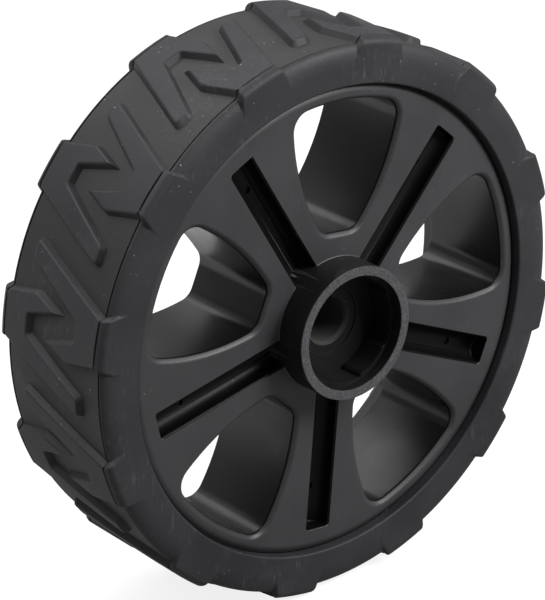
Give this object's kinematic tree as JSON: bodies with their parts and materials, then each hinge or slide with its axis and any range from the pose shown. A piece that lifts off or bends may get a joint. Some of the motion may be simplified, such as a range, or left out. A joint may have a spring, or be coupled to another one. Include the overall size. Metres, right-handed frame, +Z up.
{
  "type": "lawn mower wheel",
  "caption": "Moulded plastic lawn mower wheel with open windows, channelled spokes, a hub cap collar and a bonded soft tyre with interlocking tread lugs.",
  "frame": {"origin": "on the axle line, halfway across the tyre", "axes": "+Y along the axle towards the machine, -Y out of the cap collar on the outer face, +Z up"},
  "size_m": [0.2, 0.0673, 0.2],
  "materials": {
    "tyre": "matte soft rubber with a fine moulded grain and light dust",
    "wheel_body": "satin moulded black plastic"
  },
  "bodies": {
    "root": {"wheel_body": "wheel_body", "tyre": "tyre"}
  },
  "joints": []
}
